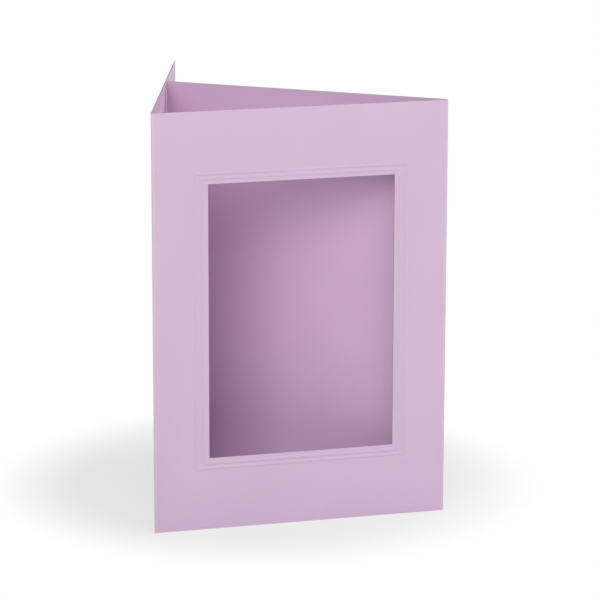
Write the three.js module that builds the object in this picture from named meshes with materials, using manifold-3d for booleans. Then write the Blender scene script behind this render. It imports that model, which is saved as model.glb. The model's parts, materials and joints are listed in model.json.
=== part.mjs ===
// Passe-partout card: one sheet of dyed card, creased twice and folded into three upright panels.
// The front panel has a picture window with two embossed lines round it. Millimetres, +Z up.
import * as THREE from 'three';
import { mergeVertices } from 'three/addons/utils/BufferGeometryUtils.js';
import Module from 'manifold-3d';

// The sheet and its three panels
const sheetThickness = 0.3;
const cardHeight = 148;
const frontWidth = 105; // front panel, over its two folds
const sideWidth = 105; // left panel, from the outside of its fold to its free edge
const backTrim = 0.5; // how much narrower the back panel is than the front one
const sideAngle = THREE.MathUtils.degToRad(72.6); // left panel, from the front panel
const tuckClearance = 0.25; // from the back panel's free edge to the left panel

// The creased folds
const innerRadius = 0.15; // inside of the fold
const creaseRise = 0.1; // height of the ridge that the crease leaves inside the fold

// The window, given by the borders that are left round it
const borderLeft = 19.6;
const borderRight = 19.2;
const borderTop = 25.3;
const borderBottom = 25.7;

// The embossed lines: raised on the front, sunk by as much on the back
const innerLineOffset = 1.9; // from the window's edge to the middle of the inner line
const linePitch = 1.7; // from there to the outer line, above and below the window
const linePitchSide = 2.45; // from there to the outer line, left and right of the window
const lineWidth = 1.5;
const lineHeight = 0.25;

// How finely curves are divided
const foldSteps = 8;
const lineSteps = 10;

// Amounts by which the cutting and joining bodies reach past the sheet's faces
const cutReach = 1;
const lineSink = 0.01;

const foldRadius = innerRadius + sheetThickness;
const creaseRadius = innerRadius + creaseRise;
const outerLineOffset = innerLineOffset + linePitch;
const outerLineSideOffset = innerLineOffset + linePitchSide;
const backWidth = frontWidth - backTrim;
const windowWidth = frontWidth - borderLeft - borderRight;
const windowHeight = cardHeight - borderTop - borderBottom;
const windowX = borderLeft + windowWidth / 2;
const windowZ = borderBottom + windowHeight / 2;

// The angle between the back and the front panel that brings the back panel's free edge to its
// clearance from the left panel. A back panel too short to reach stands square to the left one.
function findBackAngle() {
  const run = backWidth - foldRadius;
  const reach = Math.hypot(run, foldRadius);
  const wanted = Math.sin(sideAngle) * (frontWidth - 2 * foldRadius) + innerRadius - tuckClearance;
  const corner = Math.PI - Math.asin(Math.min(1, wanted / reach)) - Math.atan2(foldRadius, run);
  return corner - sideAngle;
}

// A panel that leaves a fold: the fold's centre, the panel's direction and its outward normal
function makeFlap(centreX, direction, normal, width) {
  return {
    centre: new THREE.Vector2(centreX, foldRadius),
    along: new THREE.Vector2(Math.cos(direction), Math.sin(direction)),
    out: new THREE.Vector2(Math.cos(normal), Math.sin(normal)),
    normal,
    run: width - foldRadius,
  };
}

// A point of a flap, at a distance along it and at a distance out from its fold's centre
function flapPoint(flap, along, out) {
  return flap.centre.clone().addScaledVector(flap.along, along).addScaledVector(flap.out, out);
}

// Draws an arc about a flap's fold, anticlockwise from one direction to the other
function addArc(outline, flap, radius, from, to) {
  outline.absarc(flap.centre.x, flap.centre.y, radius, from, to, false);
}

// The sheet seen from above, as one closed outline of constant thickness
function sheetOutline() {
  const backAngle = findBackAngle();
  const down = 1.5 * Math.PI;
  const side = makeFlap(foldRadius, sideAngle, sideAngle + Math.PI / 2, sideWidth);
  const back = makeFlap(frontWidth - foldRadius, Math.PI - backAngle, Math.PI / 2 - backAngle, backWidth);
  const ridgeHalf = Math.acos(innerRadius / creaseRadius);
  const sideTip = flapPoint(side, side.run, foldRadius);
  const sideRoot = flapPoint(side, 0, foldRadius);
  const sideTipInside = flapPoint(side, side.run, innerRadius);
  const backTip = flapPoint(back, back.run, foldRadius);
  const backTipInside = flapPoint(back, back.run, innerRadius);

  const outline = new THREE.Shape();
  outline.moveTo(sideTip.x, sideTip.y);
  outline.lineTo(sideRoot.x, sideRoot.y);
  addArc(outline, side, foldRadius, side.normal, down);
  outline.lineTo(back.centre.x, 0);
  addArc(outline, back, foldRadius, down - 2 * Math.PI, back.normal);
  outline.lineTo(backTip.x, backTip.y);
  outline.lineTo(backTipInside.x, backTipInside.y);
  addArc(outline, back, creaseRadius, back.normal + ridgeHalf, down - ridgeHalf);
  addArc(outline, side, creaseRadius, down + ridgeHalf - 2 * Math.PI, side.normal - ridgeHalf);
  outline.lineTo(sideTipInside.x, sideTipInside.y);
  outline.closePath();
  return outline;
}

// The three panels and their folds, without the window
function foldedSheet() {
  return new THREE.ExtrudeGeometry(sheetOutline(), {
    depth: cardHeight,
    bevelEnabled: false,
    curveSegments: foldSteps,
  });
}

// The piece that the die cuts out of the front panel
function windowCut() {
  const depth = sheetThickness + 2 * cutReach;
  const cut = new THREE.BoxGeometry(windowWidth, depth, windowHeight);
  cut.translate(windowX, sheetThickness / 2, windowZ);
  return cut;
}

// One embossed line as a closed body with mitred corners. A lathe of four steps turns the section
// into a small square frame, whose corners then move out to the line's real width and height.
function embossedLine(sideOffset, endOffset) {
  const section = [];
  for (let i = 0; i <= lineSteps; i++) {
    const across = (2 * i) / lineSteps - 1;
    const rise = (1 + Math.cos(Math.PI * across)) / 2;
    const halfSide = lineWidth * (1 + across / 2);
    section.push(new THREE.Vector2(halfSide * Math.SQRT2, rise * (lineHeight + lineSink) - lineSink));
  }
  section.push(new THREE.Vector2(1.5 * lineWidth * Math.SQRT2, -sheetThickness / 2));
  section.push(new THREE.Vector2(0.5 * lineWidth * Math.SQRT2, -sheetThickness / 2));
  section.push(section[0].clone());

  const frame = new THREE.LatheGeometry(section.reverse(), 4, Math.PI / 4);
  const corner = frame.getAttribute('position');
  const moveX = windowWidth / 2 + sideOffset - lineWidth;
  const moveZ = windowHeight / 2 + endOffset - lineWidth;
  for (let i = 0; i < corner.count; i++) {
    corner.setX(i, corner.getX(i) + Math.sign(corner.getX(i)) * moveX);
    corner.setZ(i, corner.getZ(i) + Math.sign(corner.getZ(i)) * moveZ);
  }
  frame.rotateX(Math.PI); // the line stands out of the front, towards -Y
  frame.translate(windowX, 0, windowZ);
  return frame;
}

const wasm = await Module();
wasm.setup();

// A closed geometry as a body that can be cut and joined
function toBody(geometry) {
  geometry.deleteAttribute('normal');
  geometry.deleteAttribute('uv');
  const merged = mergeVertices(geometry, 1e-5);
  const mesh = new wasm.Mesh({
    numProp: 3,
    vertProperties: new Float32Array(merged.getAttribute('position').array),
    triVerts: new Uint32Array(merged.getIndex().array),
  });
  return new wasm.Manifold(mesh);
}

// A body as a three.js geometry again
function toGeometry(body) {
  const mesh = body.getMesh();
  const geometry = new THREE.BufferGeometry();
  geometry.setAttribute('position', new THREE.BufferAttribute(mesh.vertProperties, 3));
  geometry.setIndex(new THREE.BufferAttribute(mesh.triVerts, 1));
  geometry.computeVertexNormals();
  return geometry;
}

// Raises a line on the front face and sinks the back face by as much, so the sheet keeps its thickness
function emboss(sheet, sideOffset, endOffset) {
  const raised = toBody(embossedLine(sideOffset, endOffset));
  const sunk = raised.translate([0, sheetThickness, 0]);
  return sheet.add(raised).subtract(sunk);
}

function foldedCard() {
  let sheet = toBody(foldedSheet()).subtract(toBody(windowCut()));
  sheet = emboss(sheet, innerLineOffset, innerLineOffset);
  sheet = emboss(sheet, outerLineSideOffset, outerLineOffset);
  const card = new THREE.MeshStandardMaterial({
    name: 'lilac_card',
    color: new THREE.Color().setRGB(209 / 255, 183 / 255, 208 / 255, THREE.SRGBColorSpace),
    roughness: 0.9,
    metalness: 0,
    flatShading: true,
  });
  const mesh = new THREE.Mesh(toGeometry(sheet), card);
  mesh.name = 'folded_card';
  return mesh;
}

// The origin is on the surface that the card stands on, under the middle of its bounding box
function standAtOrigin(mesh) {
  mesh.geometry.computeBoundingBox();
  const middle = mesh.geometry.boundingBox.getCenter(new THREE.Vector3());
  mesh.position.set(-middle.x, -middle.y, 0);
}

const passepartoutCard = new THREE.Group();
const card = foldedCard();
standAtOrigin(card);
passepartoutCard.add(card);

export default passepartoutCard;
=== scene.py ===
import json
import math

import bmesh
import bpy
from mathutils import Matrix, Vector


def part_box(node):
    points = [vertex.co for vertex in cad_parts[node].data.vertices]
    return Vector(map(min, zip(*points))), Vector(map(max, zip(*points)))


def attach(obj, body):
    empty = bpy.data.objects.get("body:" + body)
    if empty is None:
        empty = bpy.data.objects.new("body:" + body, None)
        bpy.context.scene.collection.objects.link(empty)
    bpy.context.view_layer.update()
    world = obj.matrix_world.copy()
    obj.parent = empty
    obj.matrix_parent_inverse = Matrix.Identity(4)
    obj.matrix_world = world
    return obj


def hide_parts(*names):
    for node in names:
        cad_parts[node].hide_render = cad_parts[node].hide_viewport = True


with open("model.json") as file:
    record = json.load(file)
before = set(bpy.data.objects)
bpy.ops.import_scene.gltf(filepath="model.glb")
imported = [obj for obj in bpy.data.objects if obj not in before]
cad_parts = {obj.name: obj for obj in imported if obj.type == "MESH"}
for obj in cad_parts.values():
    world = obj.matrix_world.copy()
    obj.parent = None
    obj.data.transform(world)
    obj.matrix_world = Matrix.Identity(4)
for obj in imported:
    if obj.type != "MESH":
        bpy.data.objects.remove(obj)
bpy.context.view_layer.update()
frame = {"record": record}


# Front panel with its picture window
# The middle panel of one sheet of dyed card. A die cuts the sheet's outline and the window, and
# the same press raises two mitred lines round the window, so they are hollow on the back.
mm = 0.001
low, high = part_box("folded_card")
fold_radius = 0.45 * mm
line_height = 0.25 * mm
line_width = 1.5 * mm
line_steps = 20
front_y = low.y + line_height
card_height = high.z - low.z

border_left = 19.6 * mm
border_right = 19.2 * mm
border_top = 25.3 * mm
border_bottom = 25.7 * mm
window_width = high.x - low.x - border_left - border_right
window_height = card_height - border_top - border_bottom
window_centre = Vector((
    low.x + border_left + window_width / 2,
    front_y,
    low.z + border_bottom + window_height / 2,
))

# Distances from the window's edge to the middle of each line, at its sides and at its ends
inner_line = (1.9 * mm, 1.9 * mm)
outer_line = (4.35 * mm, 3.6 * mm)


def line_section(side_offset, end_offset):
    """One raised line from its inner to its outer foot, as (side offset, end offset, rise). It
    starts and ends a little past the feet, which keeps the flat card beside it flat when shaded."""
    foot = 1.1
    section = []
    for step in range(line_steps + 1):
        across = foot * (2 * step / line_steps - 1)
        rise = line_height * (1 + math.cos(math.pi * across)) / 2 if abs(across) < 1 else 0
        shift = across * line_width / 2
        section.append((side_offset + shift, end_offset + shift, rise))
    return section


bpy.ops.object.select_all(action="DESELECT")
bpy.ops.mesh.primitive_plane_add(size=1, location=window_centre, rotation=(math.pi / 2, 0, 0))
card = bpy.context.object
card.name = "lilac_card"
card.scale = (window_width, window_height, 1)
bpy.ops.object.transform_apply(location=True, rotation=True, scale=True)
bpy.ops.object.mode_set(mode="EDIT")
bpy.ops.mesh.select_mode(type="VERT")
bpy.ops.mesh.delete(type="ONLY_FACE")
bpy.ops.mesh.select_all(action="SELECT")

width, height, rise = window_width, window_height, 0
for side, end, next_rise in line_section(*inner_line) + line_section(*outer_line):
    next_width = window_width + 2 * side
    next_height = window_height + 2 * end
    bpy.ops.mesh.extrude_region_move(TRANSFORM_OT_translate={"value": (0, rise - next_rise, 0)})
    bpy.ops.transform.resize(
        value=(next_width / width, 1, next_height / height), center_override=window_centre
    )
    width, height, rise = next_width, next_height, next_rise

panel_width = high.x - low.x - 2 * fold_radius
panel_centre = Vector(((low.x + high.x) / 2, front_y, low.z + card_height / 2))
bpy.ops.mesh.extrude_region_move()
bpy.ops.transform.resize(
    value=(panel_width / width, 1, card_height / height), center_override=window_centre
)
bpy.ops.transform.translate(value=panel_centre - window_centre)


# The two folds and the panels behind
# The sheet is creased at the front panel's two upright edges. The left panel turns away from the
# viewer, and the back panel comes round behind the window and tucks in against the left one.
side_angle = math.radians(72.6)
back_angle = math.radians(34.6499)
side_run = 105 * mm - fold_radius
back_run = 104.5 * mm - fold_radius
fold_steps = 16
same_place = 0.001 * mm


def select_where(wanted):
    """In edit mode, selects the vertices that pass a test, with what lies between them."""
    bpy.ops.mesh.select_all(action="DESELECT")
    mesh = bmesh.from_edit_mesh(card.data)
    for vertex in mesh.verts:
        vertex.select = wanted(vertex.co)
    mesh.select_flush(True)
    bmesh.update_edit_mesh(card.data)


def direction(angle):
    """A unit vector in the ground plane."""
    return Vector((math.cos(angle), math.sin(angle), 0))


def fold_panel(centre, turn, heading, run):
    """Bends the sheet round a fold and lets the next panel run on from there. Seen from above,
    a turn is anticlockwise where it is positive, which is a negative angle to the spin tool."""
    select_where(lambda place: abs(place.x - centre.x) < same_place)
    bpy.ops.mesh.spin(steps=fold_steps, angle=-turn, center=centre, axis=(0, 0, 1))
    bpy.ops.mesh.extrude_region_move(TRANSFORM_OT_translate={"value": direction(heading) * run})


left_fold = Vector((low.x + fold_radius, front_y + fold_radius, 0))
right_fold = Vector((high.x - fold_radius, front_y + fold_radius, 0))
left_turn = side_angle - math.pi
right_turn = math.pi - back_angle
fold_panel(left_fold, left_turn, side_angle, side_run)
fold_panel(right_fold, right_turn, math.pi - back_angle, back_run)

bpy.ops.mesh.select_all(action="SELECT")
bpy.ops.mesh.remove_doubles(threshold=same_place)
bpy.ops.mesh.normals_make_consistent(inside=False)
front_face = min(bmesh.from_edit_mesh(card.data).faces, key=lambda face: face.calc_center_median().y)
if front_face.normal.y > 0:
    bpy.ops.mesh.flip_normals()
bpy.ops.object.mode_set(mode="OBJECT")


# The sheet's thickness, its creases and its cut edges
# The card is 0.3 mm thick and coloured right through. The creasing rule leaves a rounded ridge
# inside each fold, and the die rounds every cut edge a little.
sheet_thickness = 0.3 * mm
inner_radius = fold_radius - sheet_thickness
ridge_radius = 0.25 * mm
edge_rounding = 0.03 * mm
sharp_angle = math.radians(60)
smooth_angle = math.radians(20)

# Seen from above, the way from a fold's centre to the front panel
to_front = -math.pi / 2

# How far from its place a line of the mesh may lie, as a share of the gap to the next line
line_reach = 0.8


def apply_modifier(kind, **settings):
    """Adds a modifier to the card with these settings and applies it."""
    modifier = card.modifiers.new(kind.title(), kind)
    for name, value in settings.items():
        setattr(modifier, name, value)
    bpy.ops.object.modifier_apply(modifier=modifier.name)


def raise_ridge(centre, first, turn):
    """Turns the hollow inside a fold into its ridge, one upright line of the mesh at a time."""
    half = math.acos(inner_radius / ridge_radius)
    start = first - math.copysign(half, turn)
    ridge_turn = math.copysign(2 * math.pi - abs(turn) - 2 * half, turn)
    reach = line_reach * inner_radius * abs(turn) / fold_steps
    for step in range(fold_steps + 1):
        share = step / fold_steps
        inside = centre + direction(first + share * turn) * inner_radius
        ridge = centre + direction(start - share * ridge_turn) * ridge_radius
        select_where(lambda place: (place.xy - inside.xy).length < reach)
        bpy.ops.transform.translate(value=ridge - inside)


for finish in ("lilac_card_face", "cut_card_edge", "lilac_card_inside_shade"):
    card.data.materials.append(bpy.data.materials.new(finish))
apply_modifier(
    "SOLIDIFY",
    thickness=sheet_thickness,
    offset=-1,
    use_even_offset=True,
    material_offset=2,
    material_offset_rim=1,
)
bpy.ops.object.mode_set(mode="EDIT")
raise_ridge(left_fold, to_front, left_turn)
raise_ridge(right_fold, to_front, right_turn)
bpy.ops.object.mode_set(mode="OBJECT")
apply_modifier(
    "BEVEL",
    width=edge_rounding,
    segments=2,
    limit_method="ANGLE",
    angle_limit=sharp_angle,
    use_clamp_overlap=False,
)
bpy.ops.object.shade_smooth_by_angle(angle=smooth_angle)


# The card's finish
# It is dyed lilac, matt and smooth, with soft clouds from the paper machine and a fine fibre. The
# folds are a little paler, from stretched fibres and a painted highlight, and the cut edges are darker.
edge_colour = (0.26, 0.22, 0.27)
worn_highlight_colour = (0.74, 0.62, 0.74, 1)
worn_highlight_radius = 0.8 * mm
fibre_depth = 0.02 * mm

# The dye is a little deeper than the colour that is seen, which a faint sheen pales. The inside of
# the folded card is painted a deeper colour than its front, as painted shade inside the fold.
dye_depth = 1.05
card_colour = [channel ** dye_depth for channel in frame["record"]["materials"][0]["base_color"]]
inside_shade_colour = (0.64, 0.447, 0.63)


def add_node(tree, kind, **inputs):
    """Adds a node and sets the sockets that are named, with spaces written as underscores."""
    node = tree.nodes.new(kind)
    for name, value in inputs.items():
        node.inputs[name.replace("_", " ")].default_value = value
    return node


grain = bpy.data.node_groups.new("card_grain", "ShaderNodeTree")
grain.interface.new_socket("Cloud Scale", in_out="INPUT", socket_type="NodeSocketFloat")
grain.interface.new_socket("Fibre Scale", in_out="INPUT", socket_type="NodeSocketFloat")
grain.interface.new_socket("Clouds", in_out="OUTPUT", socket_type="NodeSocketFloat")
grain.interface.new_socket("Fibres", in_out="OUTPUT", socket_type="NodeSocketFloat")
grain_in = grain.nodes.new("NodeGroupInput")
grain_out = grain.nodes.new("NodeGroupOutput")
grain_place = grain.nodes.new("ShaderNodeTexCoord")
clouds = add_node(grain, "ShaderNodeTexNoise", Detail=3, Roughness=0.55)
fibres = add_node(grain, "ShaderNodeTexNoise", Detail=5, Roughness=0.65, Distortion=0.8)
grain.links.new(grain_place.outputs["Object"], clouds.inputs["Vector"])
grain.links.new(grain_place.outputs["Object"], fibres.inputs["Vector"])
grain.links.new(grain_in.outputs["Cloud Scale"], clouds.inputs["Scale"])
grain.links.new(grain_in.outputs["Fibre Scale"], fibres.inputs["Scale"])
grain.links.new(clouds.outputs["Fac"], grain_out.inputs["Clouds"])
grain.links.new(fibres.outputs["Fac"], grain_out.inputs["Fibres"])

# How pale the card is at an upright fold, from worn fibre and a painted highlight: fully on its
# outer curve, then fading into the panels, and broken up along the crease
fold_wear_highlight = bpy.data.node_groups.new("fold_wear_and_highlight", "ShaderNodeTree")
fold_wear_highlight.interface.new_socket("Fold", in_out="INPUT", socket_type="NodeSocketVector")
fold_wear_highlight.interface.new_socket("Wear And Highlight", in_out="OUTPUT", socket_type="NodeSocketFloat")
wear_highlight_in = fold_wear_highlight.nodes.new("NodeGroupInput")
wear_highlight_out = fold_wear_highlight.nodes.new("NodeGroupOutput")
wear_highlight_place = fold_wear_highlight.nodes.new("ShaderNodeTexCoord")
from_fold = fold_wear_highlight.nodes.new("ShaderNodeVectorMath")
from_fold.operation = "SUBTRACT"
level_part = fold_wear_highlight.nodes.new("ShaderNodeVectorMath")
level_part.operation = "MULTIPLY"
level_part.inputs[1].default_value = (1, 1, 0)
fold_distance = fold_wear_highlight.nodes.new("ShaderNodeVectorMath")
fold_distance.operation = "LENGTH"
near_fold = add_node(
    fold_wear_highlight, "ShaderNodeMapRange", From_Min=fold_radius, From_Max=worn_highlight_radius, To_Min=1, To_Max=0
)
near_fold.interpolation_type = "SMOOTHSTEP"
flecks = add_node(fold_wear_highlight, "ShaderNodeTexNoise", Scale=1500, Detail=3, Roughness=0.6)
broken = add_node(fold_wear_highlight, "ShaderNodeMapRange", From_Min=0.3, From_Max=0.6)
worn_highlight = fold_wear_highlight.nodes.new("ShaderNodeMath")
worn_highlight.operation = "MULTIPLY"
fold_wear_highlight.links.new(wear_highlight_place.outputs["Object"], from_fold.inputs[0])
fold_wear_highlight.links.new(wear_highlight_in.outputs["Fold"], from_fold.inputs[1])
fold_wear_highlight.links.new(from_fold.outputs["Vector"], level_part.inputs[0])
fold_wear_highlight.links.new(level_part.outputs["Vector"], fold_distance.inputs[0])
fold_wear_highlight.links.new(fold_distance.outputs["Value"], near_fold.inputs["Value"])
fold_wear_highlight.links.new(wear_highlight_place.outputs["Object"], flecks.inputs["Vector"])
fold_wear_highlight.links.new(flecks.outputs["Fac"], broken.inputs["Value"])
fold_wear_highlight.links.new(near_fold.outputs["Result"], worn_highlight.inputs[0])
fold_wear_highlight.links.new(broken.outputs["Result"], worn_highlight.inputs[1])
fold_wear_highlight.links.new(worn_highlight.outputs["Value"], wear_highlight_out.inputs["Wear And Highlight"])


def shade(colour, amount):
    """A colour made lighter or darker, as a node socket takes it."""
    return [channel * amount for channel in colour] + [1]


def add_fold_wear_highlight(tree, fold):
    """The paling of the card at one fold, from wear and a painted highlight, as a node."""
    node = tree.nodes.new("ShaderNodeGroup")
    node.node_tree = fold_wear_highlight
    node.inputs["Fold"].default_value = fold
    return node


def finish_card(name, base, light, dark, cloud_scale, fibre_scale, bump_strength):
    """Dyed card whose colour drifts between two shades and pales along the folds, from worn fibre and a
    painted highlight, with a fibre that roughens it."""
    material = bpy.data.materials[name]
    material.use_nodes = True
    tree = material.node_tree
    tree.nodes.clear()
    output = tree.nodes.new("ShaderNodeOutputMaterial")
    shader = add_node(tree, "ShaderNodeBsdfPrincipled", Specular_IOR_Level=0.5)
    pattern = tree.nodes.new("ShaderNodeGroup")
    pattern.node_tree = grain
    pattern.inputs["Cloud Scale"].default_value = cloud_scale
    pattern.inputs["Fibre Scale"].default_value = fibre_scale
    blend = tree.nodes.new("ShaderNodeMath")
    blend.operation = "ADD"
    drift = add_node(tree, "ShaderNodeMapRange", From_Min=0.7, From_Max=1.3)
    colour = tree.nodes.new("ShaderNodeValToRGB")
    colour.color_ramp.elements[0].color = shade(base, dark)
    colour.color_ramp.elements[1].color = shade(base, light)
    # Paler along both folds, from worn fibre and a painted highlight
    wear_highlight_left = add_fold_wear_highlight(tree, left_fold)
    wear_highlight_right = add_fold_wear_highlight(tree, right_fold)
    wear_highlight_both = tree.nodes.new("ShaderNodeMath")
    wear_highlight_both.operation = "ADD"
    wear_highlight_amount = add_node(tree, "ShaderNodeMapRange", To_Max=0.3)
    worn_highlit_card = tree.nodes.new("ShaderNodeMixRGB")
    worn_highlit_card.inputs["Color2"].default_value = worn_highlight_colour
    rough = add_node(tree, "ShaderNodeMapRange", To_Min=0.82, To_Max=0.96)
    bump = add_node(tree, "ShaderNodeBump", Strength=bump_strength, Distance=fibre_depth)
    tree.links.new(pattern.outputs["Clouds"], blend.inputs[0])
    tree.links.new(pattern.outputs["Fibres"], blend.inputs[1])
    tree.links.new(blend.outputs[0], drift.inputs["Value"])
    tree.links.new(drift.outputs["Result"], colour.inputs["Fac"])
    tree.links.new(wear_highlight_left.outputs["Wear And Highlight"], wear_highlight_both.inputs[0])
    tree.links.new(wear_highlight_right.outputs["Wear And Highlight"], wear_highlight_both.inputs[1])
    tree.links.new(wear_highlight_both.outputs["Value"], wear_highlight_amount.inputs["Value"])
    tree.links.new(wear_highlight_amount.outputs["Result"], worn_highlit_card.inputs["Fac"])
    tree.links.new(colour.outputs["Color"], worn_highlit_card.inputs["Color1"])
    tree.links.new(worn_highlit_card.outputs["Color"], shader.inputs["Base Color"])
    tree.links.new(pattern.outputs["Fibres"], rough.inputs["Value"])
    tree.links.new(rough.outputs["Result"], shader.inputs["Roughness"])
    tree.links.new(pattern.outputs["Fibres"], bump.inputs["Height"])
    tree.links.new(bump.outputs["Normal"], shader.inputs["Normal"])
    tree.links.new(shader.outputs["BSDF"], output.inputs["Surface"])


smooth_face = {"light": 1.02, "dark": 0.98, "cloud_scale": 35, "fibre_scale": 2600, "bump_strength": 0.35}
rough_cut = {"light": 1.1, "dark": 0.9, "cloud_scale": 400, "fibre_scale": 6000, "bump_strength": 0.8}
finish_card("lilac_card_face", card_colour, **smooth_face)
# The inner faces take the deeper colour as painted shade inside the fold
finish_card("lilac_card_inside_shade", inside_shade_colour, **smooth_face)
finish_card("cut_card_edge", edge_colour, **rough_cut)
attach(card, "root")
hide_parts("folded_card")


# The floor and the room's light
# A plain pale studio floor. The camera sees a painted grey shadow round the card, which turns to
# pure white away from it. Large soft lights stand in front, in front on the left, on the right and
# behind on the right, in an evenly lit room.
white = (1, 1, 1, 1)
floor_size = 6
floor_colour = (0.9, 0.9, 0.9, 1)

# The camera sees the floor's soft shadow, lifted by a glow, inside a painted grey shadow round the
# card, which fades to pure white between two distances from the middle
seen_colour = (0.21, 0.22, 0.21, 1)
seen_glow = 0.65
fade_start = 66 * mm
fade_end = 105 * mm

bpy.ops.mesh.primitive_plane_add(size=floor_size, location=(0, 0, low.z))
floor = bpy.context.object
floor.name = "studio_floor"
floor_material = bpy.data.materials.new("pale_floor")
floor_material.use_nodes = True
tree = floor_material.node_tree
tree.nodes.clear()
floor_output = tree.nodes.new("ShaderNodeOutputMaterial")
floor_diffuse = add_node(tree, "ShaderNodeBsdfDiffuse", Color=floor_colour)
floor_shadow = add_node(tree, "ShaderNodeBsdfDiffuse", Color=seen_colour)
floor_lift = add_node(tree, "ShaderNodeEmission", Color=white, Strength=seen_glow)
floor_near = tree.nodes.new("ShaderNodeAddShader")
floor_white = add_node(tree, "ShaderNodeEmission", Color=white, Strength=1)
floor_place = tree.nodes.new("ShaderNodeTexCoord")
floor_distance = tree.nodes.new("ShaderNodeVectorMath")
floor_distance.operation = "LENGTH"
# Near the card the camera sees a painted grey shadow, and further out pure white
floor_fade = add_node(tree, "ShaderNodeMapRange", From_Min=fade_start, From_Max=fade_end)
floor_fade.interpolation_type = "SMOOTHSTEP"
floor_seen = tree.nodes.new("ShaderNodeMixShader")
floor_rays = tree.nodes.new("ShaderNodeLightPath")
floor_mix = tree.nodes.new("ShaderNodeMixShader")
tree.links.new(floor_shadow.outputs[0], floor_near.inputs[0])
tree.links.new(floor_lift.outputs[0], floor_near.inputs[1])
tree.links.new(floor_place.outputs["Object"], floor_distance.inputs[0])
tree.links.new(floor_distance.outputs["Value"], floor_fade.inputs["Value"])
tree.links.new(floor_fade.outputs["Result"], floor_seen.inputs["Fac"])
tree.links.new(floor_near.outputs[0], floor_seen.inputs[1])
tree.links.new(floor_white.outputs[0], floor_seen.inputs[2])
tree.links.new(floor_rays.outputs["Is Camera Ray"], floor_mix.inputs["Fac"])
tree.links.new(floor_diffuse.outputs[0], floor_mix.inputs[1])
tree.links.new(floor_seen.outputs[0], floor_mix.inputs[2])
tree.links.new(floor_mix.outputs[0], floor_output.inputs["Surface"])
floor.data.materials.append(floor_material)

card_middle = (low + high) / 2
softbox_size = 0.7
softbox_distance = 1.3
room_level = 0.39


def add_softbox(name, side, rise, power):
    """A square studio light that faces the middle of the card, from so many degrees to the right
    of straight in front and so many above the floor."""
    side, rise = math.radians(side), math.radians(rise)
    outward = Vector((math.sin(side) * math.cos(rise), -math.cos(side) * math.cos(rise), math.sin(rise)))
    place = card_middle + softbox_distance * outward
    aim = (-outward).to_track_quat("-Z", "Y").to_euler()
    bpy.ops.object.light_add(type="AREA", location=place, rotation=aim)
    lamp = bpy.context.object
    lamp.name = name
    lamp.data.size = softbox_size
    lamp.data.energy = power


add_softbox("front_left_light", -30, 30, 5.6)
add_softbox("front_light", 0, 45, 3.1)
add_softbox("right_light", 70, 30, 3.9)
add_softbox("back_right_light", 110, 40, 4.6)

world = bpy.data.worlds.new("studio")
bpy.context.scene.world = world
world.use_nodes = True
tree = world.node_tree
tree.nodes.clear()
world_output = tree.nodes.new("ShaderNodeOutputWorld")
world_light = add_node(tree, "ShaderNodeBackground", Color=white, Strength=room_level)
world_white = add_node(tree, "ShaderNodeBackground", Color=white, Strength=1)
world_rays = tree.nodes.new("ShaderNodeLightPath")
world_mix = tree.nodes.new("ShaderNodeMixShader")
tree.links.new(world_rays.outputs["Is Camera Ray"], world_mix.inputs["Fac"])
tree.links.new(world_light.outputs[0], world_mix.inputs[1])
tree.links.new(world_white.outputs[0], world_mix.inputs[2])
tree.links.new(world_mix.outputs[0], world_output.inputs["Surface"])
bpy.context.scene.view_settings.view_transform = "Standard"


# The camera
# A long lens in front of the card, a little to its left and above it, as in the photograph.
camera_place = Vector((-284.13, -1090.015, 346.82)) * mm
camera_turn = [math.radians(angle) for angle in (76.10588, -0.11573, -15.22806)]
bpy.ops.object.camera_add(location=camera_place, rotation=camera_turn)
camera = bpy.context.object
camera.data.sensor_width = 36
camera.data.lens = 192.944
camera.data.clip_start = 0.01
bpy.context.scene.camera = camera
